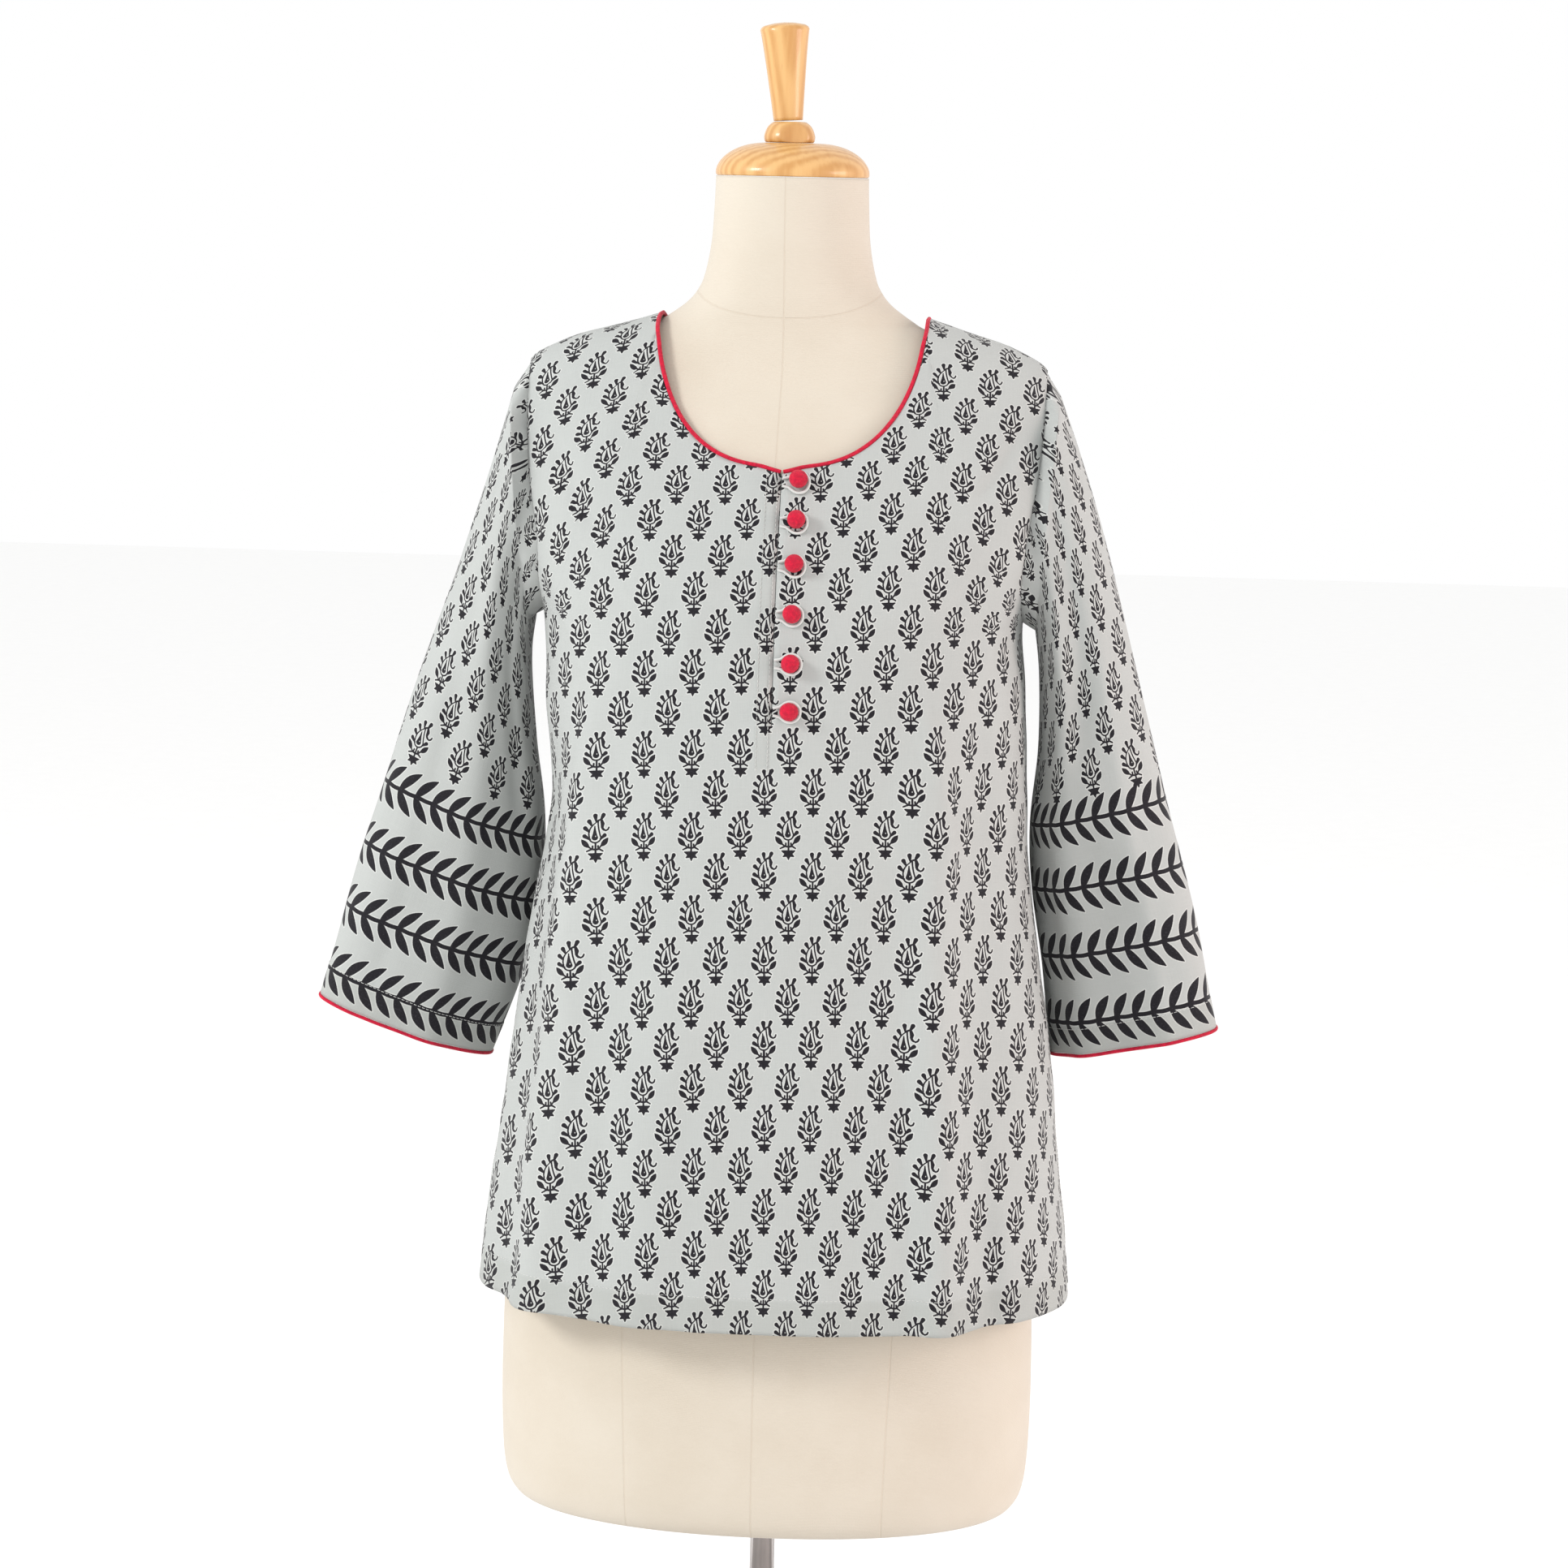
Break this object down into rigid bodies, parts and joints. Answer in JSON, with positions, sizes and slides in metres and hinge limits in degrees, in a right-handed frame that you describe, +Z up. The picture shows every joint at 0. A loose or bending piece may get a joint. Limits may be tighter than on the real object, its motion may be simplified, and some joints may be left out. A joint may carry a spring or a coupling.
{
  "type": "tunic on limbless dress form",
  "caption": "Short cotton tunic with three-quarter flared sleeves, deep scoop neck and buttoned front slit, worn by a limbless dress form with a wooden cap on a pole and round base",
  "frame": {"origin": "middle of the base plate's underside, on the floor", "axes": "the front faces -Y, +X is the right as seen from the front, +Z is up"},
  "size_m": [0.6378, 0.34, 1.2441],
  "materials": {
    "printed_cotton": "light grey-green cotton, block printed in near black, matt",
    "red_silk": "crimson cloth piping and covered buttons, soft sheen",
    "cream_jersey": "cream knitted cover stretched over the form, matt",
    "honey_wood": "turned honey-coloured wood, satin varnish",
    "bright_steel": "polished chromed tube",
    "grey_enamel": "plain grey enamel, satin"
  },
  "bodies": {
    "root": {"base_plate": "grey_enamel", "pole": "bright_steel", "dress_form": "cream_jersey", "cap": "honey_wood", "cap_bead": "honey_wood", "cap_handle": "honey_wood", "tunic_front": "printed_cotton", "tunic_back": "printed_cotton", "placket_underlap": "printed_cotton", "sleeve_left": "printed_cotton", "sleeve_right": "printed_cotton", "cuff_piping_left": "red_silk", "cuff_piping_right": "red_silk", "neck_piping": "red_silk", "button_1": "red_silk", "button_2": "red_silk", "button_3": "red_silk", "button_4": "red_silk", "button_5": "red_silk", "button_6": "red_silk", "button_loop_1": "printed_cotton", "button_loop_2": "printed_cotton", "button_loop_3": "printed_cotton", "button_loop_4": "printed_cotton", "button_loop_5": "printed_cotton", "button_loop_6": "printed_cotton"}
  },
  "joints": []
}
